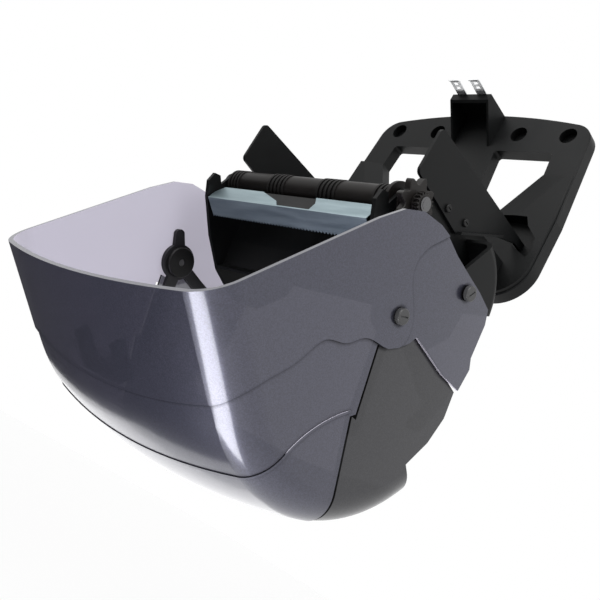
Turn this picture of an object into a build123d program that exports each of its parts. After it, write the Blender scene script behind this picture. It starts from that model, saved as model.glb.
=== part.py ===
from build123d import *
from math import atan2, cos, degrees, radians, sin
import os

# Wall-mounted lever roll towel dispenser, standing with its cover swung down for loading.
# X runs to the right, Y into the wall and Z up, in millimetres.
# The origin is on the wall face, in the middle of the row of screw holes.
# The cover and the lever are drawn closed, then swung open about the cover's hinge.

# Fits
RUN_FIT = 0.05            # radial clearance of a shaft or pin in its hole
GAP = 0.3                 # clearance between faces that move past each other

# Wall plate
PLATE_T = 14.0            # wall face to front face
PLATE_TOP_Z = 25.0        # crown of the arched top
PLATE_SHOULDER_Z = 11.0   # ends of the arched top
PLATE_TOP_HALF = 133.0
PLATE_LOW_HALF = 142.0
PLATE_WAIST_Z = -100.0    # below this height the sides are upright
PLATE_BOTTOM_Z = -188.0
PLATE_TOP_R = 25.0
PLATE_FOOT_R = 38.0
SCREW_X_INNER = 52.7
SCREW_X_OUTER = 109.0
SCREW_HOLE_R = 2.75
SCREW_CUP_R = 9.0
SCREW_CUP_DEPTH = 9.0

# Windows and the lower side panels of the wall plate
WINDOW_TOP_Z = -22.0
WINDOW_IN_TOP_X = 34.5
WINDOW_IN_LOW_X = 42.0
WINDOW_OUT_TOP_X = 102.0
WINDOW_KNEE_X = 104.5
WINDOW_KNEE_Z = -49.0
WINDOW_FOOT_X = 77.0
WINDOW_FOOT_Z = -95.0
WINDOW_R = 3.0
PANEL_RISE = 4.0          # side panels stand proud of the plate
RAMP_LIP = 0.6            # height of the panel's step at the window's slanted edge
RAMP_W = 31.0             # width of the ramp from the window edge up to the panel
POCKET_DEPTH = 14.0       # socket for the tail of a roll guide
POCKET_CORNERS = (
    (86.0, -100.0),
    (113.0, -100.0),
    (118.5, -110.0),
    (131.5, -122.0),
    (134.4, -135.7),
    (131.2, -143.5),
    (101.0, -127.5),
    (86.0, -121.0),
)

# Latch tower with its two spring clips
TOWER_HALF = 24.5
TOWER_TOP_Z = 23.2
TOWER_FRONT_Y = -49.0
TOWER_LIP_H = 7.5
TOWER_FOOT_Z = -17.0
TOWER_WALL = 2.5
CLIP_X = 12.5
CLIP_W = 12.0
CLIP_T = 0.8
CLIP_TAIL_Y = -34.0
CLIP_TIP_Y = -71.0
CLIP_RISE = 0.9
CLIP_SLOT_W = 4.5

# Roll guides, one each side of the roll
GUIDE_T = 3.0
GUIDE_FRONT_Y = -173.0
GUIDE_TOP_Z = -123.0
GUIDE_LOW_Z = -168.0
GUIDE_HEEL_Y = -97.0
GUIDE_HEEL_Z = -176.0
GUIDE_NECK_Y = -44.0
GUIDE_NECK_Z = -142.0
GUIDE_TAIL_H = 8.0        # height of the tail that plugs into the wall plate
GUIDE_R = 5.0
GUIDE_RIB_T = 2.0         # stiffening rib along the lower edge
GUIDE_RIB_W = 5.0

# Cover hinge
HINGE_Y = -93.5
HINGE_Z = -227.0
OPEN_ANGLE = 143.6
HINGE_PIN_R = 3.5
BOLT_HEAD_R = 6.5
BOLT_HEAD_H = 4.0

# Cover
COVER_HALF_W = 151.0
COVER_WALL = 2.3
COVER_CORNER_R = 28.0
CROWN_AXIS_Y = -95.0      # centre line of the rounded front
CROWN_AXIS_Z = -130.0
CROWN_MID_R = 159.5       # radius of the rounded front at the middle
CROWN_END_R = 141.0       # radius of the rounded front at the side walls
CROWN_BASE = 20.0         # the arched wall starts this far from the axis, the flat sides fill the rest
RIM_Y = -1.6
BAND_PROUD = 1.4          # the rear band stands proud of the front panel
LINE_PROUD = 0.7          # thin raised line in front of the band
LATCH_HALF = 28.0
LATCH_REAR_Y = -58.0
LATCH_FRONT_Y = -90.0
LATCH_WALL = 2.5
LATCH_LOW_Z = 14.0
LATCH_POST_Y = -76.0
LEVER_LOW_Z = -135.0      # lower edge of the lever's front panel

# Lever
PIVOT_Y = -80.5
PIVOT_Z = -145.8
PIVOT_PIN_R = 3.5
LEVER_INSET = 0.8         # air between the cover's wall and the lever's wing
SEAM_SHIFT = (-0.96, -1.28)  # moves the cover's upper seam to the lever's edge
LOW_SEAM_SHIFT = (1.5, -2.9)  # tucks the lever's wing under the cover's lower seam
ARM_T = 5.0
ARM_HUB_R = 18.0
ARM_SPACER_R = 9.0
LEG_UP = (-150.0, -88.0)
LEG_LOW = (-148.0, -178.0)
LEG_W = 12.0
CAP_R = 15.3
CAP_T = 5.0               # thin enough to pass the end of the roller's shaft
FINGER_L = 33.0
FINGER_TIP_W = 10.0
FINGER_ROOT_W = 15.0
FINGER_ANGLE = -18.0      # below the horizontal, pointing at the wall

# Side frames of the feed unit
FRAME_X = 107.5           # inner face
FRAME_T = 4.0
HOUSING_R = 62.0
HOUSING_INSET = 9.0       # from the cover's outer face to the housing's end disc
HOUSING_T = 4.0
HOUSING_ROUND = 11.0      # rounding of the housing's outer edge
HOUSING_BOSS_R = 9.0
FRAME_TOP_Z = -152.0
SCREW_R = 2.0
SCREW_HEAD_R = 3.6
SCREW_HEAD_H = 2.2
GUIDE_SCREWS = ((-122.0, -167.0), (-94.0, -162.0))
BED_SCREWS = ((-62.0, -201.5), (-118.0, -211.0))
BED_T = 2.5
BED_BOSS_R = 5.0
BED_BOSS_L = 8.0

# Drive roller
ROLLER_Y = -167.0
ROLLER_Z = -194.5
ROLLER_R = 12.5
SHAFT_R = 4.0
SHAFT_OUT = 2.5           # the shaft stands this far out of the left frame
ROLLER_SIDE_GAP = 4.0     # from the last grip to the frame, on the right for the flange
SLEEVE_L = 43.0
SLEEVE_STEP = 66.0        # from one sleeve to the next
INNER_RIBS = 5
END_RIBS = 4
GRIP_RIB_R = 13.3
GRIP_ROOT_R = 11.8
FLANGE_R = 16.5
FLANGE_T = 3.5            # leaves half a millimetre to the frame
BUSH_R = 7.0
BUSH_RIM_R = 9.5
BUSH_RIM_T = 2.0

# Star wheel and drive gear on the right end of the roller's shaft
STAR_HUB_L = 5.7          # the hub stands between the bush and the wheel
STAR_T = 6.0
STAR_R = 17.8
STAR_LOBE = 3.2
STAR_LOBES = 8
STAR_TURN = 14.2          # angle of the first lobe
STAR_HUB_R = 7.0
STACK_GAP = 0.2           # play between the pieces in a row on the shaft
CLUTCH_T = 2.0
CLUTCH_R = 8.5
GEAR_T = 5.2
GEAR_TEETH = 18
CLIP_RING_T = 0.7
CLIP_RING_R = 6.0

# Toothed sector on the lever, which turns the gear from outside when the cover is closed
SECTOR_TEETH = 216        # teeth of the full ring that the sector is cut from
SECTOR_TOOTH_FROM = -13
SECTOR_TOOTH_TO = 1
SECTOR_TOOTH_L = 4.4
SECTOR_RIM_W = 5.0
SECTOR_FAN_T = 3.4
SECTOR_FAN_ROOT = 44.0    # distance of the fan's inner edge from the pivot
SECTOR_SCREWS = (52.0, 68.0)  # distances of its two screws from the pivot
TOOTH_ROOT_W = 1.93
TOOTH_PITCH_W = 1.4
TOOTH_TIP_W = 0.73
TOOTH_RISE = 0.87
TOOTH_DROP = 1.13

# Pinch roller
PINCH_R = 7.0
PINCH_SHAFT_R = 2.5
PINCH_LINE = -20.0        # the pinch roller lies behind and a little below the drive roller
PINCH_SLEEVE_L = 40.0

# Tear bar and its carrier
BAR_SIDE_GAP = 3.0        # from the tear bar to the frames
BAR_T = 1.2
BAR_PIN_R = 2.5
BAR_TOP = (-181.0, -209.5)
BAR_BEND = (-187.0, -226.0)
BAR_EDGE = (-170.7, -235.8)
BAR_CORNER_W = 7.0        # the top corners are cut off
CARRIER_SIDE_GAP = 4.5
BAR_PIN_DEPTH = 5.0       # how deep each pin sits in the carrier
BAR_TOOTH = 2.0
BAR_PITCH = 4.0
NOTCH_FROM_X = -39.8      # the notch's left side runs down a slope, then a steeper one
NOTCH_STEP_X = -11.0
NOTCH_STEP = 0.6          # share of the flange's height
NOTCH_FLOOR_FROM_X = -4.5
NOTCH_FLOOR_TO_X = 37.0   # its right side stands upright, then leans in
NOTCH_LEAN = 0.44
NOTCH_TO_X = 31.0

# Outlines of the closed cover and lever in the side view, as points (y, z)
# Cuts that must reach past the cover end at these places
BELOW = -270.0
AHEAD = -275.0
ABOVE = 45.0
# Lower edge of the cover's side, from the wall to the front
RIM_LOW = [
    (RIM_Y, -140),
    (-3.7, -167),
    (-11.7, -186.4),
    (-28.3, -204.4),
    (-39.9, -212.4),
    (-59.8, -220.9),
    (-79.8, -232.4),
    (-100.3, -244.4),
    (-119.1, -253),
]
FRONT_LOW = [(-130.6, -247), (-151.6, -224.4), (-161, -221), (-172.6, -203.4)]
# Front edge of the side, above that
WING_FRONT = [(-191, -186), (-202, -163), (-211, LEVER_LOW_Z)]
# Upper and lower seam between cover and lever, and the round pad in front of the pivot
SEAM_UPPER = [
    (-93.1, -119.9),
    (-135.9, -87.8),
    (-134.6, -82.1),
    (-176.6, -59.4),
    (-192.6, -50.4),
    (AHEAD, -3),
]
SEAM_LOWER = [(-172.6, -203.4), (-149.6, -186.4), (-138.6, -180.4), (-105.6, -162.4)]
PAD_EDGE = [(-107, -153), (-105.5, -143), (-100.5, -129)]
# Rear edge of the lever's wing
WING_REAR = [(-99.2, -157.5), (-100.2, -145.8), (-97, -135), (-87.7, -126.0)]
# Sweeping edge of the raised band, and the thin raised line in front of it
BAND_EDGE = [
    (-93, ABOVE),
    (-89, 27),
    (-80, 14),
    (-73, -10),
    (-71.2, -47),
    (-68, -72),
    (-78.3, -89),
    (-82, -107),
    (-92.6, -120.4),
    (-100.6, -128.9),
    (-104.6, -139.4),
    (-102.6, -148.4),
    (-92, -158),
    (-70, -162),
    (-40, -190),
]
LINE_EDGE = [(-160, ABOVE), (-154, 26), (-146, 12), (-138, -6), (-131, -24), (-127, -54), (-131, -83)]
FLAT_FRONT_Y = -208.0
SIDE_TOP = [(FLAT_FRONT_Y, CROWN_AXIS_Z), (-155, CROWN_AXIS_Z), (-155, -70), (RIM_Y, -70)]

os.makedirs("parts", exist_ok=True)


def save(part, label):
    """Names a finished piece and writes it to its own file."""
    part.label = label
    export_step(part, f"parts/{label}.step")


def side_plane(x):
    """The side view at a given x, with Y across and Z up."""
    return Plane.YZ.offset(x)


def swung_open(part):
    """A piece of the closed cover, turned about the hinge to the open place."""
    return part.rotate(Axis((0, HINGE_Y, HINGE_Z), (1, 0, 0)), OPEN_ANGLE)


def toward(start, angle, length):
    """The point a length away from a start, at an angle from the wall direction."""
    return (start[0] + length * cos(radians(angle)), start[1] + length * sin(radians(angle)))


HINGE = (HINGE_Y, HINGE_Z)
ROLLER = (ROLLER_Y, ROLLER_Z)
PINCH = toward(ROLLER, PINCH_LINE, ROLLER_R + PINCH_R + GAP)
PIVOT = (PIVOT_Y, PIVOT_Z)
BAR_PIN = (BAR_TOP[0] + 7, BAR_TOP[1] - 7)
COVER_INNER_X = COVER_HALF_W - COVER_WALL
FRAME_OUT_X = FRAME_X + FRAME_T
GUIDE_X = FRAME_OUT_X
GUIDE_OUT_X = GUIDE_X + GUIDE_T
WIDE = COVER_HALF_W + 10
HOUSING_OUT_X = COVER_HALF_W - HOUSING_INSET
HOUSING_X = HOUSING_OUT_X - HOUSING_T
ROLLER_HALF = FRAME_X - ROLLER_SIDE_GAP
BAR_HALF = FRAME_X - BAR_SIDE_GAP
CARRIER_HALF = FRAME_X - CARRIER_SIDE_GAP
BAR_PIN_FROM_X = CARRIER_HALF - BAR_PIN_DEPTH
# The pieces on the right end of the roller's shaft, from the bush outward
STAR_HUB_X = FRAME_OUT_X + BUSH_RIM_T + GAP
STAR_X = STAR_HUB_X + STAR_HUB_L
CLUTCH_X = STAR_X + STAR_T + STACK_GAP
GEAR_X = CLUTCH_X + CLUTCH_T + STACK_GAP
CLIP_RING_X = GEAR_X + GEAR_T + STACK_GAP
SHAFT_LEFT_X = -FRAME_OUT_X - SHAFT_OUT
SHAFT_RIGHT_X = CLIP_RING_X + CLIP_RING_T + STACK_GAP
# The lever's pieces, from the cover's wall inward
LEVER_HALF_W = COVER_INNER_X - LEVER_INSET
ARM_X = LEVER_HALF_W - COVER_WALL - ARM_T
CAP_X = ARM_X - CAP_T
SECTOR_FAN_X = ARM_X - SECTOR_FAN_T
SECTOR_TOOTH_X = GEAR_X + GAP


# Wall plate with its windows, screw cups, side panels and latch tower
def window_points(side):
    """Corners of one window, for the right side (1) or the left side (-1)."""
    corners = [
        (WINDOW_IN_TOP_X, WINDOW_TOP_Z),
        (WINDOW_OUT_TOP_X, WINDOW_TOP_Z),
        (WINDOW_KNEE_X, WINDOW_KNEE_Z),
        (WINDOW_FOOT_X, WINDOW_FOOT_Z),
        (WINDOW_IN_LOW_X, WINDOW_FOOT_Z),
    ]
    return [(side * x, z) for x, z in corners]


def pocket_points(side):
    """Corners of the socket in one side panel."""
    return [(side * x, z) for x, z in POCKET_CORNERS]


PANEL_FRONT = PLATE_T + PANEL_RISE
with BuildPart() as wall_plate:
    with BuildSketch(Plane.XZ) as plate_outline:
        with BuildLine():
            arch = ThreePointArc(
                (-PLATE_TOP_HALF, PLATE_SHOULDER_Z), (0, PLATE_TOP_Z), (PLATE_TOP_HALF, PLATE_SHOULDER_Z)
            )
            Polyline(
                arch @ 1,
                (PLATE_LOW_HALF, PLATE_WAIST_Z),
                (PLATE_LOW_HALF, PLATE_BOTTOM_Z),
                (-PLATE_LOW_HALF, PLATE_BOTTOM_Z),
                (-PLATE_LOW_HALF, PLATE_WAIST_Z),
                arch @ 0,
            )
        make_face()
        fillet(plate_outline.vertices().group_by(Axis.Y)[0], PLATE_FOOT_R)
        fillet(plate_outline.vertices().group_by(Axis.Y)[-1], PLATE_TOP_R)
    extrude(amount=PLATE_T)
    chamfer(wall_plate.faces().sort_by(Axis.Y)[0].outer_wire().edges(), 1.0)
    # Side panels that stand proud below the windows, with a ramp along the window's slanted edge
    for side in (1, -1):
        with BuildSketch(Plane.XZ.offset(PLATE_T - 1)) as panel_outline:
            with BuildLine():
                Polyline(
                    (side * WINDOW_KNEE_X, WINDOW_KNEE_Z),
                    (side * (PLATE_LOW_HALF - 5), WINDOW_KNEE_Z),
                    (side * (PLATE_LOW_HALF - 1.5), PLATE_WAIST_Z),
                    (side * (PLATE_LOW_HALF - 1.5), PLATE_BOTTOM_Z + 1.5),
                    (side * WINDOW_FOOT_X, PLATE_BOTTOM_Z + 1.5),
                    (side * WINDOW_FOOT_X, WINDOW_FOOT_Z),
                    close=True,
                )
            make_face()
            low_out = panel_outline.vertices().group_by(Axis.Y)[0].sort_by(Axis.X)[-1 if side > 0 else 0]
            fillet(low_out, PLATE_FOOT_R - 1.5)
        extrude(amount=PANEL_RISE + 1)
    for side in (1, -1):
        # The ramp is the wedge between the window's edge and a line that runs beside it
        knee = Vector(side * WINDOW_KNEE_X, -PLATE_T - RAMP_LIP, WINDOW_KNEE_Z)
        foot = Vector(side * WINDOW_FOOT_X, -PLATE_T - RAMP_LIP, WINDOW_FOOT_Z)
        across = Vector(side * RAMP_W, -PANEL_RISE, 0)
        ramp = Plane(origin=knee, x_dir=(knee - foot), z_dir=(foot - knee).cross(across) * side)
        with BuildSketch(ramp):
            panel_side = Align.MAX if side > 0 else Align.MIN
            Rectangle(5 * RAMP_W, 2 * across.length, align=(Align.CENTER, panel_side))
        extrude(amount=PANEL_RISE * 3, mode=Mode.SUBTRACT)
    for side in (1, -1):
        with BuildSketch(Plane.XZ) as window:
            with BuildLine():
                Polyline(*window_points(side), close=True)
            make_face()
            fillet(window.vertices(), WINDOW_R)
        extrude(amount=PANEL_FRONT, mode=Mode.SUBTRACT)
        with BuildSketch(Plane.XZ.offset(PANEL_FRONT)) as pocket:
            with BuildLine():
                Polyline(*pocket_points(side), close=True)
            make_face()
        extrude(amount=-POCKET_DEPTH, mode=Mode.SUBTRACT)
    with BuildSketch(side_plane(0)):
        with BuildLine():
            Polyline(
                (-PLATE_T + 2, TOWER_TOP_Z),
                (TOWER_FRONT_Y, TOWER_TOP_Z),
                (TOWER_FRONT_Y, TOWER_TOP_Z - TOWER_LIP_H),
                (-PLATE_T, TOWER_FOOT_Z),
                (-PLATE_T + 2, TOWER_FOOT_Z),
                close=True,
            )
        make_face()
    extrude(amount=TOWER_HALF, both=True)
    # The tower is open underneath
    with BuildSketch(side_plane(0)):
        with BuildLine():
            Polyline(
                (-PLATE_T, TOWER_TOP_Z - TOWER_WALL),
                (TOWER_FRONT_Y + TOWER_WALL, TOWER_TOP_Z - TOWER_WALL),
                (TOWER_FRONT_Y + TOWER_WALL, TOWER_TOP_Z - TOWER_LIP_H - 8),
                (-PLATE_T, TOWER_FOOT_Z - 8),
                close=True,
            )
        make_face()
    extrude(amount=TOWER_HALF - TOWER_WALL, both=True, mode=Mode.SUBTRACT)
    # Screw holes at the bottom of round cups
    with BuildSketch(Plane.XZ.offset(PLATE_T)):
        with Locations(*[(sx * x, 0) for x in (SCREW_X_INNER, SCREW_X_OUTER) for sx in (1, -1)]):
            Circle(SCREW_CUP_R)
    extrude(amount=-SCREW_CUP_DEPTH, mode=Mode.SUBTRACT)
    with BuildSketch(Plane.XZ):
        with Locations(*[(sx * x, 0) for x in (SCREW_X_INNER, SCREW_X_OUTER) for sx in (1, -1)]):
            Circle(SCREW_HOLE_R)
    extrude(amount=PLATE_T, mode=Mode.SUBTRACT)
save(wall_plate.part, "wall_plate")

# Two flat zinc spring clips on top of the latch tower, pointing forward into the closed cover
with BuildPart() as latch_springs:
    with BuildSketch(side_plane(0)):
        with BuildLine():
            Polyline(
                (CLIP_TAIL_Y, TOWER_TOP_Z),
                (TOWER_FRONT_Y, TOWER_TOP_Z),
                (CLIP_TIP_Y + 4, TOWER_TOP_Z + CLIP_RISE),
                (CLIP_TIP_Y, TOWER_TOP_Z + CLIP_RISE - 1.6),
                (CLIP_TIP_Y, TOWER_TOP_Z + CLIP_RISE - 1.6 + CLIP_T),
                (CLIP_TIP_Y + 4, TOWER_TOP_Z + CLIP_RISE + CLIP_T),
                (TOWER_FRONT_Y, TOWER_TOP_Z + CLIP_T),
                (CLIP_TAIL_Y, TOWER_TOP_Z + CLIP_T),
                close=True,
            )
        make_face()
    extrude(amount=CLIP_W / 2, both=True)
    with BuildSketch(Plane.XY.offset(TOWER_TOP_Z - 5)):
        with Locations((0, CLIP_TIP_Y + 6.5), (0, CLIP_TIP_Y + 12.5)):
            Rectangle(CLIP_SLOT_W, 3)
    extrude(amount=10, mode=Mode.SUBTRACT)
one_clip = latch_springs.part
save(
    Compound([Location((sx * CLIP_X, 0, 0)) * one_clip for sx in (-1, 1)]),
    "latch_springs",
)

# Roll guides: plates that stand forward from sockets in the wall plate
TAIL_Y = -PANEL_FRONT + POCKET_DEPTH
with BuildPart() as guide:
    with BuildSketch(side_plane(GUIDE_X)) as guide_outline:
        with BuildLine():
            Polyline(
                (GUIDE_FRONT_Y, GUIDE_TOP_Z),
                (TAIL_Y, GUIDE_TOP_Z),
                (TAIL_Y, GUIDE_TOP_Z - GUIDE_TAIL_H),
                (-PANEL_FRONT, GUIDE_TOP_Z - GUIDE_TAIL_H),
                (GUIDE_NECK_Y, GUIDE_NECK_Z),
                (GUIDE_HEEL_Y, GUIDE_HEEL_Z),
                (GUIDE_FRONT_Y, GUIDE_LOW_Z),
                close=True,
            )
        make_face()
        fillet(guide_outline.vertices().group_by(Axis.X)[0], GUIDE_R)
        with Locations(*GUIDE_SCREWS):
            Circle(SCREW_R, mode=Mode.SUBTRACT)
    extrude(amount=GUIDE_T)
    with BuildSketch(side_plane(GUIDE_OUT_X)):
        with BuildLine():
            Polyline(
                (GUIDE_NECK_Y, GUIDE_NECK_Z),
                (GUIDE_HEEL_Y, GUIDE_HEEL_Z),
                (GUIDE_HEEL_Y, GUIDE_HEEL_Z + GUIDE_RIB_T * 1.3),
                (GUIDE_NECK_Y, GUIDE_NECK_Z + GUIDE_RIB_T * 1.3),
                close=True,
            )
        make_face()
    extrude(amount=GUIDE_RIB_W)
save(guide.part, "roll_guide_right")
save(mirror(guide.part, about=Plane.YZ), "roll_guide_left")

# Side frames of the feed unit, with a fin over each end of the tear bar
frame_corners = [
    (-PANEL_FRONT, FRAME_TOP_Z),
    (-PANEL_FRONT, PLATE_BOTTOM_Z),
    (-34, -214),
    (-36, -246),
    (-62, -278),
    (-93.5, -287),
    (-131, -274),
    (-160, -252),
    (-187, -225),
    (-195, -212),
    (-193.5, -202),
    (-187, -200),
    (-181, -206),
    (-178, -198),
    (-174, -186),
    (-166, -183),
    (-157, -186),
    (-146, -172),
    (-135, -163),
    (-60, FRAME_TOP_Z),
]
with BuildPart() as frame:
    with BuildSketch(side_plane(FRAME_X)) as frame_outline:
        with BuildLine():
            Polyline(*frame_corners, close=True)
        make_face()
        fillet(frame_outline.vertices().group_by(Axis.Y)[:4], 12)
        with Locations(ROLLER):
            Circle(BUSH_R, mode=Mode.SUBTRACT)
        with Locations(PINCH):
            Circle(PINCH_SHAFT_R + RUN_FIT, mode=Mode.SUBTRACT)
        with Locations(BAR_PIN):
            Circle(BAR_PIN_R, mode=Mode.SUBTRACT)
        with Locations(HINGE):
            Circle(HINGE_PIN_R, mode=Mode.SUBTRACT)
        with Locations(*GUIDE_SCREWS, *BED_SCREWS):
            Circle(SCREW_R, mode=Mode.SUBTRACT)
    extrude(amount=FRAME_T)
save(frame.part, "side_frame_right")
save(mirror(frame.part, about=Plane.YZ), "side_frame_left")

# Small pan-head screws: two hold each roll guide to its frame, two hold the roll bed
def side_screw(y, z, head_x, length):
    """A screw along X, its head outside at head_x and its shank pointing inward."""
    with BuildPart() as screw:
        with BuildSketch(side_plane(head_x)):
            with Locations((y, z)):
                Circle(SCREW_HEAD_R)
        extrude(amount=SCREW_HEAD_H)
        chamfer(screw.faces().sort_by(Axis.X)[-1].edges(), 0.6)
        with BuildSketch(side_plane(head_x)):
            with Locations((y, z)):
                Circle(SCREW_R)
        extrude(amount=-length)
        with BuildSketch(side_plane(head_x + SCREW_HEAD_H)):
            with Locations((y, z)):
                Rectangle(SCREW_HEAD_R * 1.3, 0.9)
        extrude(amount=-0.8, mode=Mode.SUBTRACT)
    return screw.part


right_screws = [side_screw(y, z, GUIDE_OUT_X, GUIDE_T + FRAME_T) for y, z in GUIDE_SCREWS]
right_screws += [side_screw(y, z, FRAME_OUT_X, FRAME_T + BED_BOSS_L) for y, z in BED_SCREWS]
left_screws = [mirror(screw, about=Plane.YZ) for screw in right_screws]
save(Compound(right_screws + left_screws), "frame_screws")

# Roll bed: a bent sheet that carries the roll, turns down behind the pinch roller and guides the towel out
with BuildPart() as roll_bed:
    with BuildSketch(side_plane(0)):
        with BuildLine():
            bed_line = FilletPolyline(
                (-PANEL_FRONT, PLATE_BOTTOM_Z + 4),
                (-30, PLATE_BOTTOM_Z + 4),
                (-60, -196),
                (-120, -206),
                (-137.5, -205),
                (-136, -215),
                (-133, -240),
                (-128, -266),
                (-134, -272),
                radius=3,
            )
        trace(bed_line, line_width=BED_T)
    extrude(amount=FRAME_X, both=True)
    # Screw bosses under the bed
    for side in (1, -1):
        with BuildSketch(side_plane(side * FRAME_X)):
            with Locations(*BED_SCREWS):
                Circle(BED_BOSS_R)
        extrude(amount=-side * BED_BOSS_L)
        with BuildSketch(side_plane(side * FRAME_X)):
            with Locations(*BED_SCREWS):
                Circle(SCREW_R)
        extrude(amount=-side * BED_BOSS_L, mode=Mode.SUBTRACT)
save(roll_bed.part, "roll_bed")

# Hinge housings: round-backed cups outside the frames, each with a boss for the cover's hinge bolt
housing_depth = HOUSING_OUT_X - FRAME_OUT_X
with BuildPart() as housing:
    with BuildSketch(Plane.XZ.offset(-HINGE_Y)):
        with BuildLine():
            Polyline(
                (HOUSING_OUT_X, HINGE_Z),
                (HOUSING_OUT_X, HINGE_Z + HOUSING_R - HOUSING_ROUND),
            )
            RadiusArc(
                (HOUSING_OUT_X, HINGE_Z + HOUSING_R - HOUSING_ROUND),
                (HOUSING_OUT_X - HOUSING_ROUND, HINGE_Z + HOUSING_R),
                -HOUSING_ROUND,
            )
            Polyline(
                (HOUSING_OUT_X - HOUSING_ROUND, HINGE_Z + HOUSING_R),
                (FRAME_OUT_X, HINGE_Z + HOUSING_R),
                (FRAME_OUT_X, HINGE_Z + HOUSING_R - HOUSING_T),
                (HOUSING_OUT_X - HOUSING_ROUND, HINGE_Z + HOUSING_R - HOUSING_T),
            )
            RadiusArc(
                (HOUSING_OUT_X - HOUSING_ROUND, HINGE_Z + HOUSING_R - HOUSING_T),
                (HOUSING_X, HINGE_Z + HOUSING_R - HOUSING_ROUND),
                HOUSING_ROUND - HOUSING_T,
            )
            Polyline(
                (HOUSING_X, HINGE_Z + HOUSING_R - HOUSING_ROUND),
                (HOUSING_X, HINGE_Z),
                (HOUSING_OUT_X, HINGE_Z),
            )
        make_face()
    revolve(axis=Axis((0, HINGE_Y, HINGE_Z), (1, 0, 0)), revolution_arc=360)
    # Only the upper rear part is there, so that the lever's sector passes in front
    with BuildSketch(side_plane(FRAME_OUT_X)):
        with BuildLine():
            Polyline(
                (-78, -170),
                (-60, -140),
                (0, -140),
                (0, -212),
                (-34, -216),
                (-80, -240),
                (-100, -238),
                (-106, -225),
                close=True,
            )
        make_face()
    extrude(amount=housing_depth, mode=Mode.INTERSECT)
    with BuildSketch(side_plane(FRAME_OUT_X)):
        with Locations(HINGE):
            Circle(HOUSING_BOSS_R)
    extrude(amount=COVER_INNER_X - GAP - FRAME_OUT_X)
    with BuildSketch(side_plane(FRAME_OUT_X)):
        with Locations(HINGE):
            Circle(HINGE_PIN_R)
    extrude(amount=COVER_HALF_W - FRAME_OUT_X, mode=Mode.SUBTRACT)
save(housing.part, "hinge_housing_right")
save(mirror(housing.part, about=Plane.YZ), "hinge_housing_left")


def cover_bolt(y, z, pin_r, inner_x):
    """A shouldered bolt along X through the cover's right wall, with its head outside."""
    head_x = COVER_HALF_W + BAND_PROUD + GAP
    with BuildPart() as bolt:
        with BuildSketch(side_plane(head_x)):
            with Locations((y, z)):
                Circle(BOLT_HEAD_R)
        extrude(amount=BOLT_HEAD_H)
        fillet(bolt.faces().sort_by(Axis.X)[-1].edges(), 1.2)
        with BuildSketch(side_plane(head_x + BOLT_HEAD_H)):
            with Locations((y, z)):
                Rectangle(BOLT_HEAD_R * 1.2, 1.2, rotation=60)
        extrude(amount=-1.0, mode=Mode.SUBTRACT)
        with BuildSketch(side_plane(head_x)):
            with Locations((y, z)):
                Circle(pin_r)
        extrude(amount=inner_x - head_x)
    return bolt.part


hinge_bolt = cover_bolt(HINGE_Y, HINGE_Z, HINGE_PIN_R, FRAME_X)
save(Compound([hinge_bolt, mirror(hinge_bolt, about=Plane.YZ)]), "hinge_bolts")

# Tear bar: a bent plate with a stepped notch in its upper flange and a toothed lower edge


def flange_plane(start, end):
    """The plane of a flange seen from outside, X along the bar and Y down the flange."""
    down = (Vector(0, *end) - Vector(0, *start)).normalized()
    return Plane(origin=(0, *start), x_dir=(1, 0, 0), z_dir=Vector(1, 0, 0).cross(down))


upper_l = (Vector(*BAR_BEND) - Vector(*BAR_TOP)).length
lower_l = (Vector(*BAR_EDGE) - Vector(*BAR_BEND)).length
tooth_count = int(2 * BAR_HALF / BAR_PITCH)
with BuildPart() as tear_bar:
    with BuildSketch(side_plane(0)):
        with BuildLine():
            bar_line = Polyline(BAR_TOP, BAR_BEND, BAR_EDGE)
        trace(bar_line, line_width=BAR_T)
    extrude(amount=BAR_HALF, both=True)
    with BuildSketch(flange_plane(BAR_TOP, BAR_BEND)):
        with BuildLine():
            Polyline(
                (NOTCH_FROM_X, -1),
                (NOTCH_FROM_X, 0),
                (NOTCH_STEP_X, upper_l * NOTCH_STEP),
                (NOTCH_FLOOR_FROM_X, upper_l - 1),
                (NOTCH_FLOOR_TO_X, upper_l - 1),
                (NOTCH_FLOOR_TO_X, upper_l * NOTCH_LEAN),
                (NOTCH_TO_X, 0),
                (NOTCH_TO_X, -1),
                close=True,
            )
        make_face()
        for side in (1, -1):
            with BuildLine():
                Polyline(
                    (side * (BAR_HALF - BAR_CORNER_W), -1),
                    (side * (BAR_HALF - BAR_CORNER_W), 0),
                    (side * BAR_HALF, upper_l / 2),
                    (side * (BAR_HALF + 1), upper_l / 2),
                    (side * (BAR_HALF + 1), -1),
                    close=True,
                )
            make_face()
    extrude(amount=2 * BAR_T, both=True, mode=Mode.SUBTRACT)
    with BuildSketch(flange_plane(BAR_BEND, BAR_EDGE)):
        with Locations((0, lower_l)):
            with GridLocations(BAR_PITCH, 0, tooth_count, 1):
                Polygon((0, -BAR_TOOTH), (BAR_PITCH / 2, 0.5), (-BAR_PITCH / 2, 0.5), align=None)
    extrude(amount=BAR_T, both=True, mode=Mode.SUBTRACT)
save(tear_bar.part, "tear_bar")

# Carrier that backs the tear bar, and the two pins that hold it between the frames
with BuildPart() as carrier:
    with BuildSketch(side_plane(0)):
        with BuildLine():
            Polyline(
                (-180.4, -209.72),
                (-186.2, -225.7),
                (-172.9, -233.7),
                (-166, -228),
                (-166, -212),
                (-176, -207),
                close=True,
            )
        make_face()
    extrude(amount=CARRIER_HALF, both=True)
    for side in (1, -1):
        with BuildSketch(side_plane(side * CARRIER_HALF)):
            with Locations(BAR_PIN):
                Circle(BAR_PIN_R)
        extrude(amount=-side * (CARRIER_HALF - BAR_PIN_FROM_X), mode=Mode.SUBTRACT)
save(carrier.part, "tear_bar_carrier")

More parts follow.
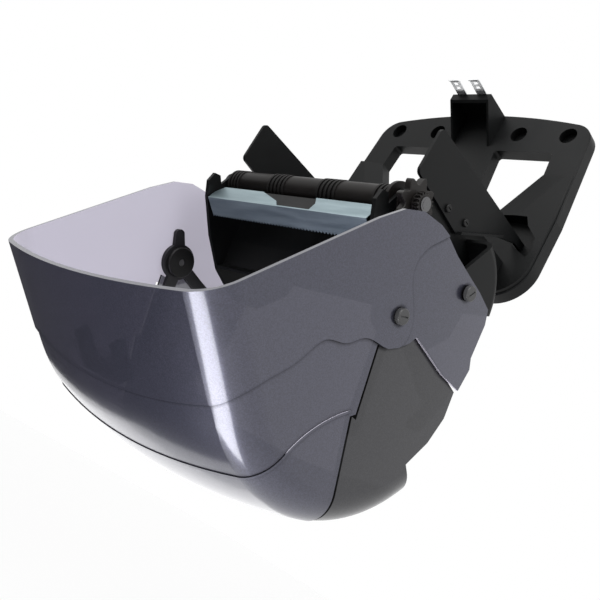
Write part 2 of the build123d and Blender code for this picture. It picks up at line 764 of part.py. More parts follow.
with BuildPart() as bar_pins:
    for side in (1, -1):
        with BuildSketch(side_plane(side * BAR_PIN_FROM_X)):
            with Locations(BAR_PIN):
                Circle(BAR_PIN_R)
        extrude(amount=side * (FRAME_OUT_X - BAR_PIN_FROM_X))
save(bar_pins.part, "tear_bar_pins")


def ring(centre, x, length, outer_r, bore_r):
    """A plain ring along X from x, round a centre in the side view."""
    with BuildPart() as piece:
        with BuildSketch(side_plane(x)):
            with Locations(centre):
                Circle(outer_r)
                if bore_r > 0:
                    Circle(bore_r, mode=Mode.SUBTRACT)
        extrude(amount=length)
    return piece.part


# Drive roller: a steel shaft with three smooth sleeves, four ribbed grips and an end flange
shaft_l = SHAFT_RIGHT_X - SHAFT_LEFT_X
save(ring(ROLLER, SHAFT_LEFT_X, shaft_l, SHAFT_R, 0), "roller_shaft")

sleeve_spots = [k * SLEEVE_STEP - SLEEVE_L / 2 for k in (-1, 0, 1)]
sleeves = [ring(ROLLER, x, SLEEVE_L, ROLLER_R, SHAFT_R) for x in sleeve_spots]
save(Compound(sleeves), "roller_sleeves")


def grip(from_x, length, ribs):
    """A rubber grip with ribs all round."""
    rib_w = length / (2 * ribs - 1)
    with BuildPart() as piece:
        with BuildSketch(side_plane(from_x)):
            with Locations(ROLLER):
                Circle(GRIP_ROOT_R)
                Circle(SHAFT_R, mode=Mode.SUBTRACT)
        extrude(amount=length)
        for k in range(ribs):
            with BuildSketch(side_plane(from_x + 2 * k * rib_w)):
                with Locations(ROLLER):
                    Circle(GRIP_RIB_R)
                    Circle(SHAFT_R, mode=Mode.SUBTRACT)
            extrude(amount=rib_w)
    return piece.part


inner_l = SLEEVE_STEP - SLEEVE_L
end_l = ROLLER_HALF - SLEEVE_STEP - SLEEVE_L / 2
grips = [
    grip(-ROLLER_HALF, end_l, END_RIBS),
    grip(sleeve_spots[1] - inner_l, inner_l, INNER_RIBS),
    grip(sleeve_spots[2] - inner_l, inner_l, INNER_RIBS),
    grip(ROLLER_HALF - end_l, end_l, END_RIBS),
]
save(Compound(grips), "roller_grips")

save(ring(ROLLER, ROLLER_HALF, FLANGE_T, FLANGE_R, SHAFT_R), "roller_flange")

# Flanged bushes pressed into the side frames
with BuildPart() as bush:
    with BuildSketch(side_plane(FRAME_X)):
        with Locations(ROLLER):
            Circle(BUSH_R)
    extrude(amount=FRAME_T)
    with BuildSketch(side_plane(FRAME_OUT_X)):
        with Locations(ROLLER):
            Circle(BUSH_RIM_R)
    extrude(amount=BUSH_RIM_T)
    with BuildSketch(side_plane(FRAME_X)):
        with Locations(ROLLER):
            Circle(SHAFT_R + RUN_FIT)
    extrude(amount=FRAME_T + BUSH_RIM_T, mode=Mode.SUBTRACT)
save(Compound([bush.part, mirror(bush.part, about=Plane.YZ)]), "roller_bushes")

# Star wheel on the end of the shaft, for turning the roller by hand
with BuildPart() as star_wheel:
    with BuildSketch(side_plane(STAR_X)):
        with BuildLine():
            lobe_points = []
            for k in range(STAR_LOBES * 6):
                turn = 360 * k / (STAR_LOBES * 6)
                lobe_r = STAR_R + STAR_LOBE * cos(radians(STAR_LOBES * turn))
                lobe_points.append(toward(ROLLER, STAR_TURN + turn, lobe_r))
            Spline(*lobe_points, periodic=True)
        make_face()
    extrude(amount=STAR_T)
    fillet(star_wheel.faces().sort_by(Axis.X)[-1].edges(), 0.8)
    with BuildSketch(side_plane(STAR_HUB_X)):
        with Locations(ROLLER):
            Circle(STAR_HUB_R)
    extrude(amount=STAR_X - STAR_HUB_X)
    with BuildSketch(side_plane(STAR_HUB_X)):
        with Locations(ROLLER):
            Circle(SHAFT_R)
    extrude(amount=STAR_X + STAR_T - STAR_HUB_X, mode=Mode.SUBTRACT)
save(star_wheel.part, "star_wheel")

save(ring(ROLLER, CLUTCH_X, CLUTCH_T, CLUTCH_R, SHAFT_R), "one_way_clutch")
save(ring(ROLLER, CLIP_RING_X, CLIP_RING_T, CLIP_RING_R, SHAFT_R), "retaining_ring")


def tooth(centre, turn, pitch_r, outward):
    """Corners of one gear tooth at the angle turn, pointing outward (1) or inward (-1)."""
    along = Vector(cos(radians(turn)), sin(radians(turn)))
    across = Vector(-along.Y, along.X)
    middle = Vector(*centre)
    corners = []
    for r, w in (
        (pitch_r - outward * (TOOTH_DROP + GAP), TOOTH_ROOT_W),
        (pitch_r, TOOTH_PITCH_W),
        (pitch_r + outward * TOOTH_RISE, TOOTH_TIP_W),
    ):
        far = middle + along * r + across * (w / 2)
        corners.append((far.X, far.Y))
        near = middle + along * r - across * (w / 2)
        corners.insert(0, (near.X, near.Y))
    return corners


# The sector is part of a ring round the lever's pivot, so the gear lies inside the ring
pivot_to_roller = Vector(*ROLLER) - Vector(*PIVOT)
mesh_turn = degrees(atan2(pivot_to_roller.Y, pivot_to_roller.X))
module = 2 * pivot_to_roller.length / (SECTOR_TEETH - GEAR_TEETH)
gear_pitch_r = module * GEAR_TEETH / 2
sector_pitch_r = module * SECTOR_TEETH / 2

with BuildPart() as drive_gear:
    with BuildSketch(side_plane(GEAR_X)):
        with Locations(ROLLER):
            Circle(gear_pitch_r - TOOTH_DROP)
        for k in range(GEAR_TEETH):
            with BuildLine():
                Polyline(*tooth(ROLLER, mesh_turn + 360 * k / GEAR_TEETH, gear_pitch_r, 1), close=True)
            make_face()
        with Locations(ROLLER):
            Circle(SHAFT_R + RUN_FIT, mode=Mode.SUBTRACT)
    extrude(amount=GEAR_T)
save(drive_gear.part, "drive_gear")

# Pinch roller: a thin shaft with three rubber sleeves against the smooth sleeves of the drive roller
save(ring(PINCH, -FRAME_OUT_X, 2 * FRAME_OUT_X, PINCH_SHAFT_R, 0), "pinch_shaft")
pinch_inset = (SLEEVE_L - PINCH_SLEEVE_L) / 2
pinch_sleeves = [ring(PINCH, x + pinch_inset, PINCH_SLEEVE_L, PINCH_R, PINCH_SHAFT_R) for x in sleeve_spots]
save(Compound(pinch_sleeves), "pinch_sleeves")

# The closed cover: an arched wall, straight on top and turned a quarter round the front


def arch_face(plane, half_w, inset, corner_r):
    """An arched profile in a plane whose Y points away from the crown's axis."""
    with BuildSketch(plane) as profile:
        with BuildLine():
            arch = ThreePointArc(
                (-half_w, CROWN_END_R - inset), (0, CROWN_MID_R - inset), (half_w, CROWN_END_R - inset)
            )
            Polyline(arch @ 1, (half_w, CROWN_BASE), (-half_w, CROWN_BASE), arch @ 0)
        make_face()
        fillet([v for v in profile.vertices() if v.Y > CROWN_END_R / 2], corner_r)
    return profile.sketch


def crown_wall(half_w, inset, wall, side_outline, front_l):
    """The arched wall: its top, its rounded front, a length of front wall and two flat sides."""
    centre = (0, CROWN_AXIS_Y, CROWN_AXIS_Z)
    top_plane = Plane(origin=centre, x_dir=(1, 0, 0), z_dir=(0, -1, 0))
    front_plane = Plane(origin=centre, x_dir=(1, 0, 0), z_dir=(0, 0, -1))
    corner_r = COVER_CORNER_R - inset
    inner_half = half_w - wall
    with BuildPart() as form:
        for plane, length in ((top_plane, CROWN_AXIS_Y - RIM_Y), (front_plane, front_l)):
            if length != 0:
                outer_face = arch_face(plane, half_w, inset, corner_r)
                inner_face = arch_face(plane, inner_half, inset + wall, corner_r - wall)
                extrude(outer_face - inner_face, amount=length)
            if plane is top_plane:
                revolve(outer_face - inner_face, axis=Axis(centre, (1, 0, 0)), revolution_arc=90)
        for side in (1, -1):
            with BuildSketch(side_plane(side * inner_half)):
                with BuildLine():
                    Polyline(*side_outline, close=True)
                make_face()
            extrude(amount=side * wall)
    return form.part


def slab(points, half_w):
    """A closed side outline made solid right across the width."""
    with BuildPart() as piece:
        with BuildSketch(side_plane(0)):
            with BuildLine():
                Polyline(*points, close=True)
            make_face()
        extrude(amount=half_w, both=True)
    return piece.part


cover_side = RIM_LOW + FRONT_LOW + WING_FRONT[:2] + SIDE_TOP
window_outline = SEAM_UPPER + [(AHEAD, -230)] + SEAM_LOWER + PAD_EDGE
cover_wall = crown_wall(COVER_HALF_W, 0, COVER_WALL, cover_side, 0)
band_wall = crown_wall(COVER_HALF_W + BAND_PROUD, -BAND_PROUD, BAND_PROUD + 1, cover_side, 0)
line_wall = crown_wall(COVER_HALF_W + LINE_PROUD, -LINE_PROUD, LINE_PROUD + 1, cover_side, 0)

# The band behind the sweeping edge, and the thin line in front of it
with BuildPart() as front_region:
    with BuildSketch(side_plane(0)):
        with BuildLine():
            sweep_line = Spline(*BAND_EDGE)
            Polyline(sweep_line @ 1, (-40, BELOW), (AHEAD, BELOW), (AHEAD, ABOVE), sweep_line @ 0)
        make_face()
    extrude(amount=WIDE, both=True)
with BuildPart() as line_region:
    with BuildSketch(side_plane(0)):
        with BuildLine():
            thin_line = Spline(*LINE_EDGE)
        trace(thin_line, line_width=2.0)
    extrude(amount=WIDE, both=True)
band = band_wall - front_region.part
thin_ridge = line_wall & line_region.part
cover_form = cover_wall + band + thin_ridge - slab(window_outline, WIDE)
with BuildPart() as cover_shell:
    add(cover_form)
    for centre, bore_r in ((HINGE, HINGE_PIN_R + RUN_FIT), (PIVOT, PIVOT_PIN_R)):
        with BuildSketch(side_plane(-WIDE)):
            with Locations(centre):
                Circle(bore_r)
        extrude(amount=2 * WIDE, mode=Mode.SUBTRACT)
save(swung_open(cover_shell.part), "cover_shell")

# Latch housing moulded inside the top of the cover, with two posts for the spring clips
with BuildPart() as latch:
    with BuildSketch(Plane.XY.offset(LATCH_LOW_Z)):
        with Locations((0, (LATCH_REAR_Y + LATCH_FRONT_Y) / 2)):
            Rectangle(2 * LATCH_HALF, LATCH_REAR_Y - LATCH_FRONT_Y)
    extrude(amount=ABOVE - LATCH_LOW_Z)
    with BuildSketch(Plane.XY.offset(LATCH_LOW_Z)):
        with Locations((0, (LATCH_REAR_Y + LATCH_FRONT_Y + LATCH_WALL) / 2)):
            Rectangle(2 * (LATCH_HALF - LATCH_WALL), LATCH_REAR_Y - LATCH_FRONT_Y - LATCH_WALL)
    extrude(amount=ABOVE - LATCH_LOW_Z, mode=Mode.SUBTRACT)
    with BuildSketch(Plane.XY.offset(LATCH_LOW_Z + 6)):
        with Locations((CLIP_X, LATCH_POST_Y), (-CLIP_X, LATCH_POST_Y)):
            Rectangle(CLIP_W, 3)
    extrude(amount=ABOVE - LATCH_LOW_Z - 6)
    # Its top meets the inside of the cover's crown
    with BuildSketch(Plane.XZ.offset(-LATCH_REAR_Y)):
        with BuildLine():
            inner_r = CROWN_MID_R - COVER_WALL + CROWN_AXIS_Z
            end_z = CROWN_END_R - COVER_WALL + CROWN_AXIS_Z
            inner_arch = ThreePointArc(
                (-COVER_INNER_X, end_z), (0, inner_r), (COVER_INNER_X, end_z)
            )
            Polyline(inner_arch @ 1, (COVER_INNER_X, 0), (-COVER_INNER_X, 0), inner_arch @ 0)
        make_face()
    extrude(amount=LATCH_REAR_Y - LATCH_FRONT_Y, mode=Mode.INTERSECT)
save(swung_open(latch.part), "latch_housing")

pivot_bolt = cover_bolt(PIVOT_Y, PIVOT_Z, PIVOT_PIN_R, CAP_X + 1)
pivot_bolts = Compound([swung_open(pivot_bolt), swung_open(mirror(pivot_bolt, about=Plane.YZ))])
save(pivot_bolts, "pivot_bolts")

# Lever: a curved front panel with a flat wing each side, inside the cover's walls


def shifted(points, step):
    """A line of points, all moved by one step."""
    return [(y + step[0], z + step[1]) for y, z in points]


lever_side = [(RIM_Y, HINGE_Z), (WING_FRONT[0][0], HINGE_Z)] + WING_FRONT[:2] + SIDE_TOP
lever_outline = (
    shifted(SEAM_UPPER, SEAM_SHIFT)
    + [(AHEAD - 1, LEVER_LOW_Z), (WING_FRONT[2])]
    + WING_FRONT[1::-1]
    + [(-174, -202)]
    + shifted(SEAM_LOWER[1:], LOW_SEAM_SHIFT)
    + WING_REAR
)
lever_wall = crown_wall(LEVER_HALF_W, 0, COVER_WALL, lever_side, CROWN_AXIS_Z - LEVER_LOW_Z)
lever_form = lever_wall & slab(lever_outline, WIDE)
save(swung_open(lever_form), "lever_shell")

# Forked arms inside the wings, each with a hub for the pivot and a finger that points at the wall
finger_tip = toward(PIVOT, FINGER_ANGLE, FINGER_L - FINGER_TIP_W / 2)
finger_side = Vector(-sin(radians(FINGER_ANGLE)), cos(radians(FINGER_ANGLE)))
with BuildPart() as arm:
    with BuildSketch(side_plane(ARM_X)):
        with Locations(PIVOT):
            Circle(ARM_HUB_R)
        for leg_end in (LEG_UP, LEG_LOW):
            with BuildLine():
                leg = Line(PIVOT, leg_end)
            trace(leg, line_width=LEG_W)
            with Locations(leg_end):
                Circle(LEG_W / 2)
        with BuildLine():
            Polyline(
                (
                    PIVOT_Y + finger_side.X * FINGER_ROOT_W / 2,
                    PIVOT_Z + finger_side.Y * FINGER_ROOT_W / 2,
                ),
                (
                    finger_tip[0] + finger_side.X * FINGER_TIP_W / 2,
                    finger_tip[1] + finger_side.Y * FINGER_TIP_W / 2,
                ),
                (
                    finger_tip[0] - finger_side.X * FINGER_TIP_W / 2,
                    finger_tip[1] - finger_side.Y * FINGER_TIP_W / 2,
                ),
                (
                    PIVOT_Y - finger_side.X * FINGER_ROOT_W / 2,
                    PIVOT_Z - finger_side.Y * FINGER_ROOT_W / 2,
                ),
                close=True,
            )
        make_face()
        with Locations(finger_tip):
            Circle(FINGER_TIP_W / 2)
    extrude(amount=ARM_T)
    with BuildSketch(side_plane(ARM_X + ARM_T)):
        with Locations(PIVOT):
            Circle(ARM_SPACER_R)
    extrude(amount=COVER_INNER_X - GAP - ARM_X - ARM_T)
    with BuildSketch(side_plane(ARM_X)):
        with Locations(PIVOT):
            Circle(PIVOT_PIN_R + RUN_FIT)
    extrude(amount=COVER_INNER_X - ARM_X, mode=Mode.SUBTRACT)
leg_turn = degrees(atan2(LEG_LOW[1] - PIVOT_Z, LEG_LOW[0] - PIVOT_Y))
sector_screw_spots = [toward(PIVOT, leg_turn, distance) for distance in SECTOR_SCREWS]
with BuildPart() as right_arm:
    add(arm.part)
    with BuildSketch(side_plane(ARM_X)):
        with Locations(*sector_screw_spots):
            Circle(SCREW_R)
    extrude(amount=ARM_T, mode=Mode.SUBTRACT)
save(swung_open(right_arm.part), "lever_arm_right")
save(swung_open(mirror(arm.part, about=Plane.YZ)), "lever_arm_left")

# Toothed sector, screwed to the lower leg of the right arm
tooth_turn = 360 / SECTOR_TEETH
first_turn = mesh_turn + SECTOR_TOOTH_FROM * tooth_turn
last_turn = mesh_turn + (SECTOR_TOOTH_TO + 1) * tooth_turn
rim_from_r = sector_pitch_r + TOOTH_DROP
rim_to_r = rim_from_r + SECTOR_RIM_W


def arc_band(from_turn, to_turn, from_r, to_r):
    """Part of a ring round the pivot, between two angles and two radii."""
    middle_turn = (from_turn + to_turn) / 2
    with BuildLine() as outline:
        Line(toward(PIVOT, from_turn, from_r), toward(PIVOT, from_turn, to_r))
        ThreePointArc(
            toward(PIVOT, from_turn, to_r), toward(PIVOT, middle_turn, to_r), toward(PIVOT, to_turn, to_r)
        )
        Line(toward(PIVOT, to_turn, to_r), toward(PIVOT, to_turn, from_r))
        ThreePointArc(
            toward(PIVOT, to_turn, from_r),
            toward(PIVOT, middle_turn, from_r),
            toward(PIVOT, from_turn, from_r),
        )
    return outline.line


with BuildPart() as sector:
    with BuildSketch(side_plane(SECTOR_TOOTH_X)):
        make_face(arc_band(first_turn, last_turn, rim_from_r, rim_to_r).edges())
    extrude(amount=ARM_X - SECTOR_TOOTH_X)
    with BuildSketch(side_plane(SECTOR_TOOTH_X)):
        for k in range(SECTOR_TOOTH_FROM, SECTOR_TOOTH_TO + 1):
            with BuildLine():
                Polyline(
                    *tooth(PIVOT, mesh_turn + (k + 0.5) * tooth_turn, sector_pitch_r, -1), close=True
                )
            make_face()
    extrude(amount=SECTOR_TOOTH_L)
    with BuildSketch(side_plane(SECTOR_FAN_X)):
        with BuildLine():
            Polyline(
                toward(PIVOT, leg_turn + LEG_W / 2, SECTOR_FAN_ROOT),
                toward(PIVOT, last_turn - 1, rim_to_r - 0.5),
                toward(PIVOT, first_turn + 8, rim_to_r - 0.5),
                toward(PIVOT, leg_turn - LEG_W / 2, SECTOR_FAN_ROOT),
                close=True,
            )
        make_face()
        with Locations(*sector_screw_spots):
            Circle(SCREW_R, mode=Mode.SUBTRACT)
    extrude(amount=ARM_X - SECTOR_FAN_X)
save(swung_open(sector.part), "lever_sector")

sector_screws = []
for y, z in sector_screw_spots:
    with BuildPart() as sector_screw:
        with BuildSketch(side_plane(SECTOR_FAN_X)):
            with Locations((y, z)):
                Circle(SCREW_HEAD_R)
        extrude(amount=-SCREW_HEAD_H)
        chamfer(sector_screw.faces().sort_by(Axis.X)[0].edges(), 0.6)
        with BuildSketch(side_plane(SECTOR_FAN_X)):
            with Locations((y, z)):
                Circle(SCREW_R)
        extrude(amount=LEVER_HALF_W - COVER_WALL - SECTOR_FAN_X)
    sector_screws.append(swung_open(sector_screw.part))
save(Compound(sector_screws), "sector_screws")

# Round caps over the inner ends of the pivot
with BuildPart() as cap:
    with BuildSketch(side_plane(CAP_X)):
        with Locations(PIVOT):
            Circle(CAP_R)
    extrude(amount=CAP_T)
    fillet(cap.faces().sort_by(Axis.X)[0].edges(), 1.5)
    with BuildSketch(side_plane(CAP_X)):
        with Locations(PIVOT):
            Circle(PIVOT_PIN_R + RUN_FIT)
    extrude(amount=CAP_T, mode=Mode.SUBTRACT)
save(Compound([swung_open(cap.part), swung_open(mirror(cap.part, about=Plane.YZ))]), "pivot_caps")
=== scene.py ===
import bpy
from mathutils import Matrix, Vector

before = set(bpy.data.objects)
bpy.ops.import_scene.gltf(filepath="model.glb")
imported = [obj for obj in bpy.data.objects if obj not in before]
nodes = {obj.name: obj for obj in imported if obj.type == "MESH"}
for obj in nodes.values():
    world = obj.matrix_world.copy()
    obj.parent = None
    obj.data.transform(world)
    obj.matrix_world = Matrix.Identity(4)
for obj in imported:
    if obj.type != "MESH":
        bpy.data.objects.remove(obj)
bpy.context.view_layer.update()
scene = bpy.context.scene

# Every visible shape of the part is a CAD piece. This script adds the finishes, the stage and the lamps.
# Lengths are in metres, unless a comment says otherwise.
WHITE = (1.0, 1.0, 1.0, 1.0)
GRAIN_HEIGHT = 0.0002                   # relief of moulded and of plated surfaces

# Smoke shells
BOWL_CENTRE = (0.0, -0.150, -0.306)     # middle of the open cover's hollow, at rest
SMOKE_METALLIC = 0.6
SMOKE_ROUGHNESS = 0.3
SMOKE_COAT_ROUGHNESS = 0.12
FLECK_SCALE = 1500.0                    # flecks in a metre
FLECK_SHADES = (0.82, 1.3)              # darkest and brightest fleck, times the shell's colour
FLECK_SPREAD = (0.2, 0.95)              # part of the cells' values that the shades run over
CORNER_REACH = 0.0035                   # how far from a step the painted shade in its corner reaches
CORNER_POWER = 3.0                      # makes that painted shade steeper
PAINTED_SHADE_GREY = 0.008                      # colour of the painted shade, where it is full
LINING_ROUGHNESS = 0.3
LINING_GLOW = 0.3                       # share of the lining that is lit from behind

# Front edge of the lever's panel at rest: a point on each of its two runs, and the direction across the
# run, to the rear
SEAM_RUNS = [
    ((0.0, -0.1574, -0.3130), (0.0, 0.958, 0.288)),
    ((0.0, -0.1185, -0.4279), (0.0, 0.907, 0.422)),
]
SEAM_BREAK_Z = -0.3665                  # height where the two runs meet
SEAM_DARK = (0.0054, 0.0062)            # from the edge, to where the painted shade of the gap starts to fade and is gone

# Camera at the photograph's viewing angle
CAMERA_PLACE = (0.545006, -0.592999, -0.466968)
CAMERA_RIGHT = (0.6676, 0.5618, 0.4885)
CAMERA_BACK = (0.72483, -0.64033, -0.25417)
CAMERA_LENS = 49.41                     # mm
CAMERA_SENSOR = 36.0                    # mm
CAMERA_CLIP = (0.02, 50.0)

# Stage
FLOOR_Z = -1.6                          # well below the part, which hangs on a wall
FLOOR_HALF = 30.0
FLOOR_GREY = 0.86
FLOOR_GLOW = 0.71                       # added where the floor is seen, so that it looks pale
FLAG_GREY = 0.04
FLAG_CORNERS = {
    "flag": [(-1.1, -1.8, -1.3), (-1.1, 0.2, -1.3), (-1.1, 0.2, 0.0), (-1.1, -1.8, 0.0)],
    "flag_low": [(-1.1, -1.2, -1.3), (-0.35, -1.2, -1.3), (-0.35, 0.2, -1.3), (-1.1, 0.2, -1.3)],
}
WORLD_FILL = 0.28                       # light that the world gives
WORLD_SEEN = 1.0                        # white, where the world itself is seen

# Lamps, each with its place, its size and its watts
LAMP_AIM = (0.0, -0.16, -0.23)          # middle of the part
LAMPS = {
    "key": ((-0.05, -1.25, 0.85), (1.5, 1.5), 17.0),
    "side": ((1.2, -0.5, 0.5), (0.8, 0.8), 8.5),
    "under": ((0.12, -0.36, -1.15), (0.5, 0.6), 9.0),       # gives the open cover its bright streak
    "rear_low": ((-1.2, 0.8, -0.95), (0.9, 0.9), 1.3),
}


def opaque(rgb):
    """A colour with full alpha."""
    return (*rgb, 1.0)


def grey(value):
    """A neutral colour."""
    return opaque((value, value, value))


class Shader:
    """A material's node tree, with short calls for the nodes that this scene uses."""

    def __init__(self, name):
        self.mat = bpy.data.materials.new(name)
        self.mat.use_nodes = True
        self.tree = self.mat.node_tree
        self.bsdf = self.tree.nodes["Principled BSDF"]
        self.out = self.tree.nodes["Material Output"]

    def node(self, kind, **settings):
        """A new node with the settings given."""
        made = self.tree.nodes.new(kind)
        for key, value in settings.items():
            setattr(made, key, value)
        return made

    def link(self, source, target):
        """A link from an output to an input."""
        self.tree.links.new(source, target)

    def feed(self, target, value):
        """Links an output to an input, or sets a constant there."""
        if isinstance(value, bpy.types.NodeSocket):
            self.link(value, target)
        else:
            target.default_value = value

    def calc(self, operation, first, second):
        """The result of a math node."""
        made = self.node("ShaderNodeMath", operation=operation)
        self.feed(made.inputs[0], first)
        self.feed(made.inputs[1], second)
        return made.outputs["Value"]

    def reach(self, coords, point, direction):
        """How far the shaded spot lies from a point, along a direction."""
        away = self.node("ShaderNodeVectorMath", operation="SUBTRACT")
        away.inputs[1].default_value = point
        self.link(coords.outputs["Object"], away.inputs[0])
        span = self.node("ShaderNodeVectorMath", operation="DOT_PRODUCT")
        self.link(away.outputs["Vector"], span.inputs[0])
        self.feed(span.inputs[1], direction)
        return span.outputs["Value"]

    def blend(self, share, first, second):
        """Two shaders mixed, with the second's share."""
        made = self.node("ShaderNodeMixShader")
        self.feed(made.inputs["Fac"], share)
        self.link(first, made.inputs[1])
        self.link(second, made.inputs[2])
        return made.outputs["Shader"]

    def set(self, **values):
        """Constants on the Principled shader's own sockets."""
        names = {
            "color": "Base Color",
            "metallic": "Metallic",
            "roughness": "Roughness",
            "specular": "Specular IOR Level",
            "coat": "Coat Weight",
            "coat_roughness": "Coat Roughness",
        }
        for key, value in values.items():
            self.bsdf.inputs[names[key]].default_value = value

    def noise(self, scale, detail, stretch=(1.0, 1.0, 1.0)):
        """A noise texture in the piece's own coordinates."""
        coords = self.node("ShaderNodeTexCoord")
        mapping = self.node("ShaderNodeMapping")
        mapping.inputs["Scale"].default_value = stretch
        texture = self.node("ShaderNodeTexNoise")
        texture.inputs["Scale"].default_value = scale
        texture.inputs["Detail"].default_value = detail
        self.link(coords.outputs["Object"], mapping.inputs["Vector"])
        self.link(mapping.outputs["Vector"], texture.inputs["Vector"])
        return texture.outputs["Fac"]

    def ramp(self, fac, low, high, start=0.3, end=0.7):
        """A colour between two, following a texture."""
        made = self.node("ShaderNodeValToRGB")
        made.color_ramp.elements[0].position = start
        made.color_ramp.elements[0].color = low
        made.color_ramp.elements[1].position = end
        made.color_ramp.elements[1].color = high
        self.link(fac, made.inputs["Fac"])
        return made.outputs["Color"]

    def uneven(self, fac, low, high, roughness, below, above):
        """Colour and roughness that follow a texture, the roughness from below its plain value to above."""
        self.link(self.ramp(fac, low, high), self.bsdf.inputs["Base Color"])
        rough = self.ramp(fac, grey(roughness - below), grey(roughness + above))
        self.link(rough, self.bsdf.inputs["Roughness"])

    def bump(self, height, strength, distance):
        """Surface relief from a texture."""
        made = self.node("ShaderNodeBump")
        made.inputs["Strength"].default_value = strength
        made.inputs["Distance"].default_value = distance
        self.link(height, made.inputs["Height"])
        self.link(made.outputs["Normal"], self.bsdf.inputs["Normal"])


def moulded(name, low, high, roughness=0.45, tint=(1.0, 1.0, 1.03), specular=0.35):
    """Moulded plastic with a fine eroded grain and slightly uneven gloss."""
    s = Shader(name)
    s.set(roughness=roughness, specular=specular)
    patches = s.noise(scale=22.0, detail=4.0)
    colors = [opaque(v * t for t in tint) for v in (low, high)]
    s.uneven(patches, *colors, roughness, below=0.06, above=0.08)
    s.bump(s.noise(scale=1400.0, detail=2.0), strength=0.12, distance=GRAIN_HEIGHT)
    return s.mat


def plated(name, low, high, roughness, metallic=1.0, stretch=(1.0, 30.0, 30.0), scale=60.0):
    """Plated sheet metal with rolling marks along X."""
    s = Shader(name)
    s.set(metallic=metallic, roughness=roughness)
    marks = s.noise(scale, detail=5.0, stretch=stretch)
    s.uneven(marks, opaque(low), opaque(high), roughness, below=0.05, above=0.1)
    s.bump(marks, strength=0.05, distance=GRAIN_HEIGHT)
    return s.mat


def past_seam(s, coords):
    """How far a spot is out of the painted shade line behind the lever's front edge, from 0 to 1."""
    spans = [s.reach(coords, point, across) for point, across in SEAM_RUNS]
    split = s.node("ShaderNodeSeparateXYZ")
    s.link(coords.outputs["Object"], split.inputs["Vector"])
    chosen = s.node("ShaderNodeMix", data_type="FLOAT")
    s.link(s.calc("LESS_THAN", split.outputs["Z"], SEAM_BREAK_Z), chosen.inputs["Factor"])
    s.link(spans[0], chosen.inputs["A"])
    s.link(spans[1], chosen.inputs["B"])
    lit = s.node("ShaderNodeMapRange", interpolation_type="SMOOTHSTEP")
    lit.inputs["From Min"].default_value = SEAM_DARK[0]
    lit.inputs["From Max"].default_value = SEAM_DARK[1]
    s.link(chosen.outputs["Result"], lit.inputs["Value"])
    return lit.outputs["Result"]


def flecked(s, coords, color, coat, seam_shaded):
    """The outside of a smoke shell, with painted shade in the corners of its steps and, where seam_shaded, a
    painted shade line at the seam.
    """
    s.set(metallic=SMOKE_METALLIC, roughness=SMOKE_ROUGHNESS, coat=coat, coat_roughness=SMOKE_COAT_ROUGHNESS)
    cells = s.node("ShaderNodeTexVoronoi")
    cells.inputs["Scale"].default_value = FLECK_SCALE
    s.link(coords.outputs["Object"], cells.inputs["Vector"])
    shades = [opaque(v * k for v in color) for k in FLECK_SHADES]
    s.link(s.ramp(cells.outputs["Color"], *shades, *FLECK_SPREAD), s.bsdf.inputs["Base Color"])
    s.bump(s.noise(scale=2200.0, detail=1.0), strength=0.06, distance=0.0001)
    # Painted shade: an occlusion mask blends a dark grey diffuse into the corners of the steps
    corners = s.node("ShaderNodeAmbientOcclusion", samples=8)
    corners.inputs["Distance"].default_value = CORNER_REACH
    lit = s.calc("POWER", corners.outputs["AO"], CORNER_POWER)
    # Painted shade: a dark line behind the lever's front edge, in place of the shade in the gap
    if seam_shaded:
        lit = s.calc("MULTIPLY", lit, past_seam(s, coords))
    shade = s.node("ShaderNodeBsdfDiffuse")
    shade.inputs["Color"].default_value = grey(PAINTED_SHADE_GREY)
    return s.blend(lit, shade.outputs["BSDF"], s.bsdf.outputs["BSDF"])


def lined(s, color):
    """The inside of a smoke shell, painted pale as painted light, which also glows with the light from
    behind.
    """
    lining = s.node("ShaderNodeBsdfPrincipled")
    lining.inputs["Base Color"].default_value = opaque(color)
    lining.inputs["Roughness"].default_value = LINING_ROUGHNESS
    glow = s.node("ShaderNodeBsdfTranslucent")
    glow.inputs["Color"].default_value = opaque(color)
    return s.blend(LINING_GLOW, lining.outputs["BSDF"], glow.outputs["BSDF"])


def smoke(name, outside, inside, pass_out, pass_in, tint, coat=0.8, seam_shaded=False):
    """Translucent smoke plastic with a metallic fleck: dark from outside, and painted pale from inside as
    painted light on the same plastic.
    """
    s = Shader(name)
    coords = s.node("ShaderNodeTexCoord")
    outward = s.reach(coords, BOWL_CENTRE, coords.outputs["Normal"])
    inner = s.calc("LESS_THAN", outward, 0.0)
    skin = s.blend(inner, flecked(s, coords, outside, coat, seam_shaded), lined(s, inside))

    # A ray that leaves the wall again passes freely, so each wall counts once
    share = s.node("ShaderNodeMapRange")
    share.inputs["To Min"].default_value = pass_out
    share.inputs["To Max"].default_value = pass_in
    s.link(inner, share.inputs["Value"])
    geometry = s.node("ShaderNodeNewGeometry")
    passing = s.calc("MAXIMUM", share.outputs["Result"], geometry.outputs["Backfacing"])
    clear = s.node("ShaderNodeBsdfTransparent")
    clear.inputs["Color"].default_value = opaque(tint)
    s.link(s.blend(passing, skin, clear.outputs["BSDF"]), s.out.inputs["Surface"])
    return s.mat


